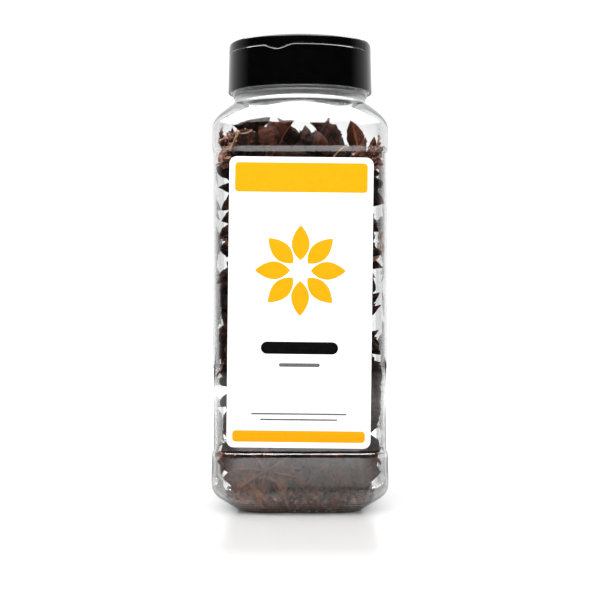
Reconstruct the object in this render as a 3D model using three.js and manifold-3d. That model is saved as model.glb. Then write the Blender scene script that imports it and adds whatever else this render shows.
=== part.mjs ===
// A clear plastic spice jar of whole star anise: a rounded-square jar with a round neck, a black
// screw cap with two shut flaps, a paper label on the flat front, and the heap of pods inside.
// Millimetres. The origin is the middle of the base, +Z is up and the label faces -Y.

import * as THREE from 'three';
import Module from 'manifold-3d';
import { mergeVertices } from 'three/addons/utils/BufferGeometryUtils.js';

const wasm = await Module();
wasm.setup();

// ---- Driving dimensions ------------------------------------------------------------------

const GAP = 0.3; // left between pieces that touch

// The jar's body: two bumper bands stand proud of the flat label panel between them.
const JAR_HALF_WIDTH = 39.6;
const JAR_CORNER = 14;
const PANEL_RECESS = 0.7;
const WALL = 1.0;
const FLOOR = 1.7;

const FOOT_HALF_WIDTH = 26.8; // flat standing ring, from the push-up out to the heel
const FOOT_CORNER = 11.5;
const PUSH_UP = { halfWidth: 17.5, corner: 11, height: 1.5, flank: 2.5 };
const HEEL_BREAK = { z: 5.6, halfWidth: 35, corner: 13 }; // where the heel starts to turn up
const HEEL_TOP = 13;
const LOWER_STEP = { bottom: 26.6, top: 28.8 };
const UPPER_STEP = { bottom: 160.6, top: 163.4 };
const SHOULDER_BASE = 171;

const NECK_RADIUS = 30.5;
const SHOULDER_TOP = 186;
const SHOULDER_TURN = THREE.MathUtils.degToRad(56); // how far the shoulder turns in from upright
const NECK_FLARE = 0.8; // how much wider than the neck the shoulder's top is
const NECK_BASE = 187.9;
const NECK_BEAD = { bottom: 189.2, top: 191.9, radius: 31.3, edge: 0.5 };

// The cap: a skirt with a closed plate, a hinge bar over it and a flap on either side of the bar.
const CAP_BOTTOM = 191.2;
const CAP_TOP = 214;
const CAP_RADIUS_BOTTOM = 33.4;
const CAP_RADIUS_TOP = 32.8;
const CAP_EDGE = 1.3; // rounding of the top rim
const CAP_BORE = 31.9;
const CAP_PLATE = { bottom: 206.4, top: 209.3 };
const HINGE_AZIMUTH = THREE.MathUtils.degToRad(72); // the bar's end, from the front round to +X
const HINGE_HALF_WIDTH = 4.5;
const TAB_TURNS = [-Math.PI / 2, Math.PI / 2]; // the two finger tabs, a quarter turn off the bar
const TAB_HALF_ANGLE = THREE.MathUtils.degToRad(14);
const TAB_DROP = 2.0;
const TAB_INNER_RADIUS = 31.2;
const TAB_STEPS = 12;

const LABEL = { width: 63.3, height: 127.8, thickness: 0.2, corner: 3.2, middle: 94.3, tilt: 0.65 };

// The pods, each a star of eight boat-shaped carpels, heaped to just under the shoulder's top.
const POD_CARPELS = 8;
const POD_RADIUS = { least: 12.5, most: 16.5 };
const HEAP_TOP = 167;
const HEAP_INSET = 3.4; // how far the heap's core lies inside the pods that touch the wall
const HEAP_ROUGHNESS = 1.3;
const WALL_PODS = { rows: 3, first: 34, rise: 46, columns: [-1, 1], apart: 15, stagger: 5, inset: 7 };
const TOP_PODS = { count: 10, reach: 27, climb: 5, lean: 60 };

// ---- Closed meshes -----------------------------------------------------------------------

const ROUND_SIDES = 40;

// One level outline of the jar: a square with rounded corners, which is a circle once the corner
// radius equals the half width. vary(angle) adds to the distance from the axis.
function outline(z, halfWidth, corner, vary = () => 0) {
  const inner = halfWidth - corner;
  const points = [];
  for (let i = 0; i < ROUND_SIDES; i += 1) {
    const angle = (i / ROUND_SIDES) * 2 * Math.PI;
    const c = Math.abs(Math.cos(angle));
    const s = Math.abs(Math.sin(angle));
    const onFlat = halfWidth * Math.min(c, s) <= inner * Math.max(c, s);
    const reach = onFlat
      ? halfWidth / Math.max(c, s)
      : inner * (c + s) + Math.sqrt(corner ** 2 - (inner * (c - s)) ** 2);
    const distance = reach + vary(angle);
    points.push(new THREE.Vector3(distance * Math.cos(angle), distance * Math.sin(angle), z));
  }
  return points;
}

// Joins a row of rings with the same number of points into one closed solid. Each ring runs
// anticlockwise about the direction in which the outside of the solid is swept.
function solidFromRings(rings) {
  const count = rings[0].length;
  const positions = rings.flat().flatMap((point) => point.toArray());
  const faces = [];
  for (let ring = 0; ring < rings.length - 1; ring += 1) {
    for (let i = 0; i < count; i += 1) {
      const a = ring * count + i;
      const b = ring * count + ((i + 1) % count);
      faces.push(a, b, b + count, a, b + count, a + count);
    }
  }
  const first = positions.length / 3;
  for (const ring of [rings[0], rings[rings.length - 1]]) {
    const middle = ring.reduce((sum, point) => sum.add(point), new THREE.Vector3());
    positions.push(...middle.divideScalar(count).toArray());
  }
  const lastRing = (rings.length - 1) * count;
  for (let i = 0; i < count; i += 1) {
    const next = (i + 1) % count;
    faces.push(first, next, i, first + 1, lastRing + i, lastRing + next);
  }
  const geometry = new THREE.BufferGeometry();
  geometry.setAttribute('position', new THREE.Float32BufferAttribute(positions, 3));
  geometry.setIndex(faces);
  return geometry;
}

function toManifold(geometry) {
  const bare = geometry.clone();
  bare.deleteAttribute('normal');
  bare.deleteAttribute('uv');
  const merged = mergeVertices(bare, 1e-4);
  return new wasm.Manifold(new wasm.Mesh({
    numProp: 3,
    vertProperties: Float32Array.from(merged.getAttribute('position').array),
    triVerts: Uint32Array.from(merged.getIndex().array),
  }));
}

function toGeometry(manifold) {
  const mesh = manifold.getMesh();
  const geometry = new THREE.BufferGeometry();
  geometry.setAttribute('position', new THREE.BufferAttribute(mesh.vertProperties, 3));
  geometry.setIndex(new THREE.BufferAttribute(mesh.triVerts, 1));
  return geometry;
}

function lathe(profile) {
  const points = profile.map(([radius, z]) => new THREE.Vector2(radius, z));
  return new THREE.LatheGeometry(points, ROUND_SIDES).rotateX(Math.PI / 2);
}

// ---- The jar -----------------------------------------------------------------------------

// The shoulder: an elliptical arc from the upper bumper in to the foot of the neck, while the corners
// round off until the outline is a circle.
function shoulderRings(halfWidth, corner, topRadius, bottom, top, steps) {
  const across = (halfWidth - topRadius) / (1 - Math.cos(SHOULDER_TURN));
  const up = (top - bottom) / Math.sin(SHOULDER_TURN);
  const rings = [];
  for (let step = 0; step <= steps; step += 1) {
    const turn = (step / steps) * SHOULDER_TURN;
    const width = halfWidth - across * (1 - Math.cos(turn));
    const share = THREE.MathUtils.smoothstep(step / steps, 0, 1);
    const round = THREE.MathUtils.lerp(corner, width, share);
    rings.push([bottom + up * Math.sin(turn), width, round]);
  }
  return rings;
}

// The heel: it goes on along the slope over the foot and bends until it is upright.
function heelRings(inset, steps) {
  const slope = HEEL_BREAK.z / (HEEL_BREAK.halfWidth - FOOT_HALF_WIDTH);
  const kneeHeight = HEEL_BREAK.z + (JAR_HALF_WIDTH - HEEL_BREAK.halfWidth) * slope;
  const bend = new THREE.QuadraticBezierCurve(
    new THREE.Vector2(HEEL_BREAK.halfWidth, HEEL_BREAK.z),
    new THREE.Vector2(JAR_HALF_WIDTH, kneeHeight),
    new THREE.Vector2(JAR_HALF_WIDTH, HEEL_TOP),
  );
  return bend.getPoints(steps).map((point, step) => {
    const corner = THREE.MathUtils.lerp(HEEL_BREAK.corner, JAR_CORNER, step / steps);
    return [point.y + inset, point.x - inset, corner - inset];
  });
}

// The body's outside from the heel to the foot of the neck, or its inside if inset is the wall.
function bodyRings(inset) {
  const bumper = JAR_HALF_WIDTH - inset;
  const panel = bumper - PANEL_RECESS;
  const corner = JAR_CORNER - inset;
  const flare = NECK_RADIUS + NECK_FLARE - inset;
  const shoulderTop = SHOULDER_TOP - inset * Math.cos(SHOULDER_TURN);
  return [
    ...heelRings(inset, 3),
    [LOWER_STEP.bottom, bumper, corner],
    [LOWER_STEP.top, panel, corner],
    [UPPER_STEP.bottom, panel, corner],
    [UPPER_STEP.top, bumper, corner],
    ...shoulderRings(bumper, corner, flare, SHOULDER_BASE, shoulderTop, 5),
    [NECK_BASE, NECK_RADIUS - inset, NECK_RADIUS - inset],
  ];
}

function jar() {
  const neckBore = NECK_RADIUS - WALL;
  const neckTop = CAP_PLATE.bottom - GAP;
  const footBore = FOOT_HALF_WIDTH - WALL;
  const outside = [
    [PUSH_UP.height, PUSH_UP.halfWidth - PUSH_UP.flank, PUSH_UP.corner - PUSH_UP.flank],
    [0, PUSH_UP.halfWidth, PUSH_UP.corner],
    [0, FOOT_HALF_WIDTH, FOOT_CORNER],
    ...bodyRings(0),
    [NECK_BEAD.bottom, NECK_RADIUS, NECK_RADIUS],
    [NECK_BEAD.bottom + NECK_BEAD.edge, NECK_BEAD.radius, NECK_BEAD.radius],
    [NECK_BEAD.top - NECK_BEAD.edge, NECK_BEAD.radius, NECK_BEAD.radius],
    [NECK_BEAD.top, NECK_RADIUS, NECK_RADIUS],
    [neckTop, NECK_RADIUS, NECK_RADIUS],
  ];
  const inside = [
    [FLOOR + PUSH_UP.height, PUSH_UP.halfWidth, PUSH_UP.corner],
    [FLOOR, PUSH_UP.halfWidth + PUSH_UP.flank, PUSH_UP.corner],
    [FLOOR, footBore, FOOT_CORNER - WALL],
    ...bodyRings(WALL),
    [neckTop, neckBore, neckBore],
  ];
  const rings = [...outside, ...inside.reverse()];
  return solidFromRings(rings.map(([z, halfWidth, corner]) => outline(z, halfWidth, corner)));
}

// ---- The cap -----------------------------------------------------------------------------

// The whole cap's outer form above a level, with its slight draft and rounded top rim.
function capEnvelope(bottom) {
  const draft = (CAP_RADIUS_BOTTOM - CAP_RADIUS_TOP) / (CAP_TOP - CAP_BOTTOM);
  const radiusAt = (z) => CAP_RADIUS_BOTTOM - draft * (z - CAP_BOTTOM);
  const rimBase = CAP_TOP - CAP_EDGE;
  const rim = [];
  for (let step = 1; step <= 3; step += 1) {
    const turn = (step / 3) * (Math.PI / 2);
    rim.push([
      radiusAt(rimBase) - CAP_EDGE * (1 - Math.cos(turn)),
      rimBase + CAP_EDGE * Math.sin(turn),
    ]);
  }
  return toManifold(lathe([
    [0, bottom], [radiusAt(bottom), bottom], [radiusAt(rimBase), rimBase], ...rim, [0, CAP_TOP],
  ]));
}

// A finger tab: a piece of the flap's rim that dips in a soft wave below the parting line.
// grow widens it for the notch that it lies in.
function fingerTab(azimuth, grow) {
  const inner = TAB_INNER_RADIUS - grow;
  const outer = CAP_RADIUS_BOTTOM + 2;
  const top = CAP_PLATE.top + GAP + 1 + grow;
  const halfAngle = TAB_HALF_ANGLE + grow / TAB_INNER_RADIUS;
  const rings = [];
  for (let step = 0; step <= TAB_STEPS; step += 1) {
    const along = (step / TAB_STEPS) * 2 - 1;
    const angle = azimuth + along * halfAngle;
    const drop = TAB_DROP * Math.cos(along * Math.PI / 2) ** 2;
    const low = CAP_PLATE.top + GAP - drop - grow;
    const corner = (radius, z) => new THREE.Vector3(
      radius * Math.sin(angle), -radius * Math.cos(angle), z,
    );
    rings.push([corner(inner, low), corner(outer, low), corner(outer, top), corner(inner, top)]);
  }
  return toManifold(solidFromRings(rings.reverse()));
}

// An upright slab right across the cap, wide enough to cut the hinge bar from.
function hingeSlab() {
  const height = 2 * (CAP_TOP - CAP_PLATE.top + 1);
  const slab = new THREE.BoxGeometry(3 * CAP_RADIUS_BOTTOM, 2 * HINGE_HALF_WIDTH, height);
  slab.rotateZ(HINGE_AZIMUTH - Math.PI / 2);
  return toManifold(slab.translate(0, 0, CAP_TOP));
}

// The skirt and its closed plate, with the hinge bar left standing where the flaps are cut away.
function capBase() {
  const bore = toManifold(lathe([
    [0, CAP_BOTTOM - 1], [CAP_BORE, CAP_BOTTOM - 1],
    [CAP_BORE, CAP_PLATE.bottom], [0, CAP_PLATE.bottom],
  ]));
  const roomForFlaps = new THREE.BoxGeometry(3 * CAP_RADIUS_BOTTOM, 3 * CAP_RADIUS_BOTTOM, CAP_TOP);
  roomForFlaps.translate(0, 0, CAP_PLATE.top + CAP_TOP / 2);
  const above = toManifold(roomForFlaps).subtract(hingeSlab());
  let base = capEnvelope(CAP_BOTTOM).subtract(above).subtract(bore);
  for (const turn of TAB_TURNS) {
    base = base.subtract(fingerTab(HINGE_AZIMUTH + turn, GAP));
  }
  return toGeometry(base);
}

function capFlap(tabTurn) {
  const outwards = HINGE_AZIMUTH + tabTurn;
  const reach = 2 * CAP_RADIUS_BOTTOM;
  const half = new THREE.BoxGeometry(2 * reach, reach, 4 * CAP_TOP);
  half.translate(0, -reach / 2 - HINGE_HALF_WIDTH - GAP, 0).rotateZ(outwards);
  const plate = capEnvelope(CAP_PLATE.top + GAP).intersect(toManifold(half));
  const tab = fingerTab(outwards, 0).intersect(capEnvelope(CAP_BOTTOM));
  return toGeometry(plate.add(tab));
}

// ---- The label ---------------------------------------------------------------------------

function label() {
  const { width, height, thickness, corner } = LABEL;
  const shape = new THREE.Shape();
  const right = width / 2 - corner;
  const top = height / 2 - corner;
  shape.absarc(right, top, corner, 0, Math.PI / 2);
  shape.absarc(-right, top, corner, Math.PI / 2, Math.PI);
  shape.absarc(-right, -top, corner, Math.PI, 1.5 * Math.PI);
  shape.absarc(right, -top, corner, 1.5 * Math.PI, 2 * Math.PI);
  return new THREE.ExtrudeGeometry(shape, { depth: thickness, bevelEnabled: false, curveSegments: 4 });
}

// ---- The star anise ----------------------------------------------------------------------

// A repeatable stand-in for chance: the fractional part of a scaled sine, from 0 to 1.
function chance(seed) {
  const value = Math.sin(seed * 127.1 + 311.7) * 43758.5453;
  return value - Math.floor(value);
}

// A pod lying flat at the origin: a star of pointed arms, a little narrower below than above.
function starPod(radius, seed) {
  const arms = Array.from({ length: POD_CARPELS }, (_, arm) => 0.8 + 0.2 * chance(seed + arm));
  const level = (z, tip, notch) => arms.flatMap((share, arm) => {
    const turn = ((2 * Math.PI) / POD_CARPELS) * arm;
    const next = turn + Math.PI / POD_CARPELS;
    return [
      new THREE.Vector3(Math.cos(turn), Math.sin(turn), 0).setLength(radius * tip * share).setZ(z),
      new THREE.Vector3(Math.cos(next), Math.sin(next), 0).setLength(radius * notch).setZ(z),
    ];
  });
  return toManifold(solidFromRings([
    level(-0.16 * radius, 0.85, 0.33),
    level(0.16 * radius, 1, 0.4),
  ]));
}

// One pod of the seed's own size, turned in its own plane, then leant, then faced and placed.
function placedPod(seed, lean, facing, place) {
  const radius = THREE.MathUtils.lerp(POD_RADIUS.least, POD_RADIUS.most, chance(seed));
  return starPod(radius, seed)
    .rotate([0, 0, 360 * chance(seed + 7)])
    .rotate([lean.x, lean.y, 0])
    .rotate([0, 0, facing])
    .translate(place.toArray());
}

// The room inside the jar, less the gap that the pods keep to the wall.
function heapRoom() {
  const inset = WALL + GAP;
  const rings = [
    [FLOOR + PUSH_UP.height + GAP, PUSH_UP.halfWidth, PUSH_UP.corner],
    [FLOOR + PUSH_UP.height + GAP, FOOT_HALF_WIDTH - inset, FOOT_CORNER - inset],
    ...bodyRings(inset),
  ];
  return toManifold(solidFromRings(
    rings.map(([z, halfWidth, corner]) => outline(z, halfWidth, corner)),
  ));
}

// The packed middle of the heap, with a lumpy side and a lumpy top.
function heapCore() {
  const bottom = FLOOR + PUSH_UP.height + GAP;
  const levels = 11;
  const rings = [outline(bottom, PUSH_UP.halfWidth, PUSH_UP.corner)];
  for (let level = 0; level <= levels; level += 1) {
    const z = THREE.MathUtils.lerp(HEEL_TOP, HEAP_TOP - 6, level / levels);
    const lumps = (angle) => HEAP_ROUGHNESS
      * (Math.sin(5 * angle + 1.9 * level) + Math.sin(8 * angle - 2.6 * level));
    rings.push(outline(z, JAR_HALF_WIDTH - WALL - HEAP_INSET, JAR_CORNER - HEAP_INSET, lumps));
  }
  rings.push(outline(HEAP_TOP - 1, JAR_HALF_WIDTH * 0.5, JAR_CORNER));
  return toManifold(solidFromRings(rings));
}

// Pods that lie against the four walls, in staggered rows.
function wallPods() {
  const pods = [];
  const depth = JAR_HALF_WIDTH - WALL - WALL_PODS.inset;
  for (let side = 0; side < 4; side += 1) {
    for (let row = 0; row < WALL_PODS.rows; row += 1) {
      for (const column of WALL_PODS.columns) {
        const seed = 2 + pods.length;
        const across = column * WALL_PODS.apart + (row % 2 ? 1 : -1) * WALL_PODS.stagger;
        const z = WALL_PODS.first + row * WALL_PODS.rise + column * 2 * WALL_PODS.stagger;
        const place = new THREE.Vector3(across, -depth, z);
        place.applyAxisAngle(new THREE.Vector3(0, 0, 1), (side * Math.PI) / 2);
        const lean = { x: 70 + 40 * chance(seed + 3), y: 50 * (chance(seed + 4) - 0.5) };
        pods.push(placedPod(seed, lean, 90 * side, place));
      }
    }
  }
  return pods;
}

// Pods that lie on top, on a sunflower spiral.
function topPods() {
  const pods = [];
  for (let i = 0; i < TOP_PODS.count; i += 1) {
    const seed = 40 + i;
    const angle = i * Math.PI * (3 - Math.sqrt(5));
    const distance = TOP_PODS.reach * Math.sqrt((i + 0.5) / TOP_PODS.count);
    const z = HEAP_TOP - 3 + TOP_PODS.climb * chance(seed + 5);
    const place = new THREE.Vector3(distance * Math.cos(angle), distance * Math.sin(angle), z);
    const lean = {
      x: TOP_PODS.lean * (chance(seed + 1) - 0.5),
      y: TOP_PODS.lean * (chance(seed + 2) - 0.5),
    };
    pods.push(placedPod(seed, lean, 0, place));
  }
  return pods;
}

// The core and the pods on it as one body. Keeping its largest shell fills any pocket shut inside.
function heapOfPods() {
  const heap = [...wallPods(), ...topPods()].reduce((sum, pod) => sum.add(pod), heapCore());
  const shells = heap.intersect(heapRoom()).simplify(0.1).decompose();
  return toGeometry(shells.reduce((best, shell) => (shell.volume() > best.volume() ? shell : best)));
}

// ---- The whole jar -----------------------------------------------------------------------

function piece(name, geometry, color, roughness) {
  const mesh = new THREE.Mesh(
    geometry,
    new THREE.MeshStandardMaterial({ color, roughness, metalness: 0 }),
  );
  mesh.name = name;
  return mesh;
}

const group = new THREE.Group();

const jarMesh = piece('jar', jar(), 0xe9eef0, 0.08);
jarMesh.material.transparent = true;
jarMesh.material.opacity = 0.3;
group.add(jarMesh);

const CAP_BLACK = 0x0c0c0d;
group.add(piece('cap_base', capBase(), CAP_BLACK, 0.4));
group.add(piece('cap_flap_front', capFlap(TAB_TURNS[0]), CAP_BLACK, 0.35));
group.add(piece('cap_flap_back', capFlap(TAB_TURNS[1]), CAP_BLACK, 0.35));

const labelMesh = piece('label', label(), 0xfdfdfb, 0.5);
labelMesh.rotation.set(Math.PI / 2, 0, -THREE.MathUtils.degToRad(LABEL.tilt));
labelMesh.position.set(0, -(JAR_HALF_WIDTH - PANEL_RECESS + GAP), LABEL.middle);
group.add(labelMesh);

group.add(piece('star_anise', heapOfPods(), 0x4a2c1c, 0.7));

export default group;
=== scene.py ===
# A clear plastic spice jar packed with dried star anise: the jar's smooth double wall, its black
# flap-top cap, a printed paper label and the pods themselves. Metres, in the CAD model's frame.

import math

import bpy
import numpy as np
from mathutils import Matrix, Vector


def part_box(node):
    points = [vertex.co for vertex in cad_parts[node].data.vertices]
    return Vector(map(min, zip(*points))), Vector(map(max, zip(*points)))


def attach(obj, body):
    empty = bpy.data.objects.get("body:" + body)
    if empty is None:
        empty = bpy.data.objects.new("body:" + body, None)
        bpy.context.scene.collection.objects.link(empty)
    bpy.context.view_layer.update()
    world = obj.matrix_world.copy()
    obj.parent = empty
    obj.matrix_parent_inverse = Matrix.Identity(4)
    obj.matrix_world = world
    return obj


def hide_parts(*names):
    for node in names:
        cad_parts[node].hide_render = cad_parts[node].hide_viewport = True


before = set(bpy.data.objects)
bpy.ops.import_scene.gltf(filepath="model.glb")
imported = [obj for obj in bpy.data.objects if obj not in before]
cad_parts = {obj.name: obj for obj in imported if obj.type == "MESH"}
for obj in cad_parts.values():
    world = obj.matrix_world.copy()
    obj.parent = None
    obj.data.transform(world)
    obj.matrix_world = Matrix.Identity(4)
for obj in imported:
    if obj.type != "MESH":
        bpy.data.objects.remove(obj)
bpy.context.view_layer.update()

# ---- Sizes ----

MM = 0.001

jar_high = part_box("jar")[1]
cap_low, cap_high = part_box("cap_base")
label_low, label_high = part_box("label")

# The jar, as in the CAD model. A ring of its wall is (height, half width, corner radius).
HALF_WIDTH = jar_high[0]
CORNER = 14 * MM
PANEL_RECESS = 0.7 * MM
WALL = 0.8 * MM
PUSH_UP = (1.5 * MM, 15 * MM, 8.5 * MM)
PUSH_UP_FOOT = (0, 18.5 * MM, 11.5 * MM)
FOOT = (0, 26.8 * MM, 11.5 * MM)
FOOT_EDGE = (0.6 * MM, 28.1 * MM, 11.7 * MM)
HEEL_BREAK = (5.6 * MM, 35 * MM, 13 * MM)
HEEL_TOP = 13 * MM
HEEL_RIPPLE = 0.05 * MM
STRAIGHT_END = 0.6 * MM
LOWER_STEP_LEANS = (
    (26.2, 0), (26.3, 9), (27.4, 12), (27.5, 37), (27.9, 37), (28.0, 12), (28.8, 9), (28.9, 0),
)
UPPER_STEP = (160.6 * MM, 163.4 * MM)
SHOULDER_BASE = 171 * MM
SHOULDER_TOP = 186 * MM
SHOULDER_TURN = math.radians(56)
NECK_FLARE = 0.8 * MM
NECK_BASE = 187.9 * MM
NECK_RADIUS = 30.5 * MM
NECK_TOP = jar_high[2]
NECK_BEAD = (189.2 * MM, 191.9 * MM, 31.3 * MM)

# The cap. Azimuths run from the front (-Y) round to the right (+X).
CAP_BOTTOM = cap_low[2]
CAP_TOP = cap_high[2]
CAP_RADIUS_BOTTOM = cap_high[0]
CAP_RADIUS_TOP = 32.8 * MM
CAP_EDGE = 1.3 * MM
CAP_BORE = 31.9 * MM
CAP_PLATE = (206.4 * MM, 209.3 * MM)
CAP_GAP = 0.3 * MM
HINGE_AZIMUTH = math.radians(72)
HINGE_HALF_WIDTH = 4.5 * MM
HINGE_ROOT = 0.5 * MM
HINGE_EDGE = 0.5 * MM
TAB_HALF_ANGLE = math.radians(14)
TAB_DROP = 2.0 * MM
TAB_INNER_RADIUS = 31.2 * MM
SKIRT_EDGE = 0.25 * MM
FLAP_EDGE = 0.2 * MM
FLAP_RIM = 1.5 * MM

# The label. Its box is the box of a tilted rectangle.
LABEL_SIZE = (63.3 * MM, 127.8 * MM)
LABEL_CORNER = 3.2 * MM
LABEL_TILT = math.radians(0.65)
LABEL_FRONT = label_low[1]
LABEL_BACK = label_high[1]
LABEL_MIDDLE = (label_low[2] + label_high[2]) / 2
INK = 0.03 * MM
INK_SUNK = 0.01 * MM

# Its print: blocks of ink, each its width, height, corner and height above the label's middle, and
# a flower of petals, each with its length, width and distance from the flower's middle.
BLOCK_WIDTH = LABEL_SIZE[0] - 5 * MM
AMBER_BLOCKS = (
    (BLOCK_WIDTH, 13 * MM, 1.6 * MM, LABEL_SIZE[1] / 2 - 9 * MM),
    (BLOCK_WIDTH, 5 * MM, 1.6 * MM, -LABEL_SIZE[1] / 2 + 5 * MM),
)
BLACK_BLOCKS = ((34 * MM, 5.4 * MM, 2.7 * MM, -20 * MM),)
GREY_BLOCKS = (
    (18 * MM, 1.6 * MM, 0.8 * MM, -27.5 * MM),
    (42 * MM, 0.7 * MM, 0.35 * MM, -49 * MM),
    (34 * MM, 0.7 * MM, 0.35 * MM, -51.5 * MM),
)
PETAL = (20 * MM, 9 * MM, 4.5 * MM)
FLOWER_UP = 14 * MM

# The pods.
POD_COUNT = 176
LOOSE_COUNT = 60
FLAKE_COUNT = 12
FLAKE_SIZE = (2.2 * MM, 5 * MM)
STALK_COUNT = 14
STALK_LENGTH = (7 * MM, 15 * MM)
POD_ARMS = 8
POD_RADIUS = (12.6 * MM, 16.4 * MM)
OPEN_SHARES = {"shut_pods": 0.08, "half_open_pods": 0.45, "open_pods": 0.8, "mostly_shut_pods": 0.25}
HEAP_TOP = 171 * MM
HEAP_START_REACH = (16, 30)  # millimetres
HEAP_START_END = 8 * MM
CORE_HALF_WIDTH = 11 * MM
CORE_CORNER = 6 * MM
CORE_SPAN = (9 * MM, 150 * MM)
CORE_LEVELS = 40
WALL_GAP = 0.15 * MM
CRUMB_COUNT = 1500
CRUMB_SIZE = (0.7 * MM, 2.2 * MM)
CRUMB_LAYER = 5 * MM
CRUMB_REACH = 36 * MM
CRUMB_LEVELS = ((0.5, -0.5), (1.0, -0.1), (0.6, 0.5))
BITS_SPAN = (14, 165)  # millimetres
BITS_GAP = 2 * MM
BITS_SPIN = (30, 110)
PACKING_ROUNDS = 380
PAIRING_ROUNDS = 8
SINK = 0.025 * MM
POD_INERTIA = 0.35
PUSH_SHARE = 1.3
MOST_SPIN = 0.15

# The pods that are placed as in the photo, flat at the top of the heap and upright at the bottom of
# its front, as the radius and x, y, z of the rim's middle in millimetres, then the azimuth and
# elevation the open side looks to and the spin.
SET_PODS = (
    (11.5, -22.5, -24.0, 178.0, 10, 84, 20),
    (13.5, -24.5, -23.0, 166.5, 20, 60, 0),
    (15.5, -22.0, -9.0, 160.0, 0, 74, 10),
    (15.5, 1.5, -12.0, 161.5, 10, 70, 22),
    (15.5, 24.5, -12.0, 160.5, -10, 74, 0),
    (16.0, -15.5, -30.5, 19.5, -5, -18, 10),
    (14.5, 12.5, -31.5, 22.5, 160, 10, 0),
)

# The arms that stand up out of the front of the heap's top, placed as in the photo. Each row is the
# tip's x and z, the root's x and z and the y of both in millimetres, then the roll in degrees, the
# redness and the shade, which darkens the arm's colour as painted shade. Without roll its seam looks
# to the front.
SET_ARMS = (
    (-12.1, 175.2, -12.8, 163.5, -31.0, 175, 0.40, 0.3),
    (-9.4, 177.0, -7.8, 163.0, -26.0, 85, 0.00, 0.9),
    (-2.0, 174.8, -9.8, 162.5, -31.5, -70, 0.50, 0.4),
    (0.5, 171.5, -0.5, 157.0, -27.0, 100, 0.00, 0.9),
    (2.7, 173.4, 3.3, 161.5, -30.5, 180, 0.10, 0.9),
    (4.6, 174.8, 13.4, 162.5, -27.5, 90, 0.10, 0.8),
    (6.0, 170.5, 12.0, 159.5, -31.5, 180, 0.45, 0.6),
    (11.2, 176.4, 18.2, 160.5, -29.0, -90, 0.00, 0.8),
    (24.3, 175.4, 26.3, 159.5, -29.0, 5, 0.70, 0.2),
    (31.0, 166.0, 20.0, 157.5, -29.0, 150, 0.50, 0.4),
    (-19.0, 173.5, -13.5, 159.0, -31.0, 165, 0.50, 0.4),
    (-8.0, 168.5, -9.0, 152.0, -25.0, 175, 0.10, 0.9),
    (-0.2, 169.0, -0.6, 151.0, -24.5, 180, 0.00, 0.9),
    (-31.5, 169.5, -17.0, 163.0, -27.0, 170, 0.20, 0.9),
    (-22.0, 171.5, -17.5, 156.0, -25.0, 175, 0.00, 0.9),
    (33.0, 168.5, 29.0, 152.0, -25.0, 20, 0.50, 0.5),
    (16.5, 169.0, 18.0, 152.0, -24.5, 180, 0.00, 0.9),
)

# Where flakes are heaped at the top of the front's two corners: how many, and their least and most
# x, y, z in millimetres. Then the bits of stalk there.
FLAKE_HEAPS = (
    (20, (-36, -31, 155), (-29, -21, 172)),
    (13, (31, -30, 154), (36, -20, 168)),
)
SET_STALKS = ((-25, -34, 169), (-29, -33, 166), (-32, -30, 163), (16, -36, 160))


# ---- Meshes ----

def points_of(x, y, z):
    """An array of points. x, y and z are arrays, or a number that all the points share."""
    return np.stack(np.broadcast_arrays(x, y, z), axis=-1)


def circle(count):
    """The cosines and the sines of even steps round a circle."""
    turn = np.arange(count) / count * 2 * math.pi
    return np.cos(turn), np.sin(turn)


def shares(steps):
    """Even shares from 0 to 1."""
    return [step / steps for step in range(steps + 1)]


def smoothstep(share):
    return share * share * (3 - 2 * share)


# A shape is (points, quads, triangles).

def skin(rings):
    """The closed skin over a row of rings, each of as many points."""
    rings = np.array(rings)
    count, around = rings.shape[:2]
    points = rings.reshape(-1, 3)
    index = np.arange(count * around).reshape(count, around)
    ahead = np.roll(index, -1, axis=1)
    quads = np.stack([index[:-1], ahead[:-1], ahead[1:], index[1:]], axis=-1).reshape(-1, 4)
    ends = np.stack([rings[0].mean(axis=0), rings[-1].mean(axis=0)])
    first = np.full(around, count * around)
    triangles = np.concatenate([
        np.stack([ahead[0], index[0], first], axis=-1),
        np.stack([index[-1], ahead[-1], first + 1], axis=-1),
    ])
    return np.concatenate([points, ends]), quads, triangles


def joined(shapes):
    """One shape from many."""
    points, quads, triangles = [], [], []
    start = 0
    for shape in shapes:
        points.append(shape[0])
        quads.append(shape[1] + start)
        triangles.append(shape[2] + start)
        start += len(shape[0])
    return np.concatenate(points), np.concatenate(quads), np.concatenate(triangles)


def turned(points, axis, angle):
    """points turned about one of the axes."""
    c, s = math.cos(angle), math.sin(angle)
    first, second = [(1, 2), (2, 0), (0, 1)][axis]
    result = points.copy()
    result[:, first] = points[:, first] * c - points[:, second] * s
    result[:, second] = points[:, first] * s + points[:, second] * c
    return result


def moved(shape, size, turn, place):
    """A shape made larger, turned by a matrix and put in its place."""
    points, quads, triangles = shape
    return points * size @ turn.T + place, quads, triangles


# ---- The jar's outline and wall ----

FLAT_STEPS = 7
CORNER_STEPS = 10
CORNER_FROM = math.radians(31)


def outline_angles():
    """Angles round the axis, closer together where the corners are."""
    flat = np.linspace(0, CORNER_FROM, FLAT_STEPS, endpoint=False)
    corner = np.linspace(CORNER_FROM, math.pi / 4, CORNER_STEPS, endpoint=False)
    eighth = np.concatenate([flat, corner])
    quarter = np.concatenate([eighth, [math.pi / 4], math.pi / 2 - eighth[:0:-1]])
    return np.concatenate([quarter + turn * math.pi / 2 for turn in range(4)])


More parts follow.
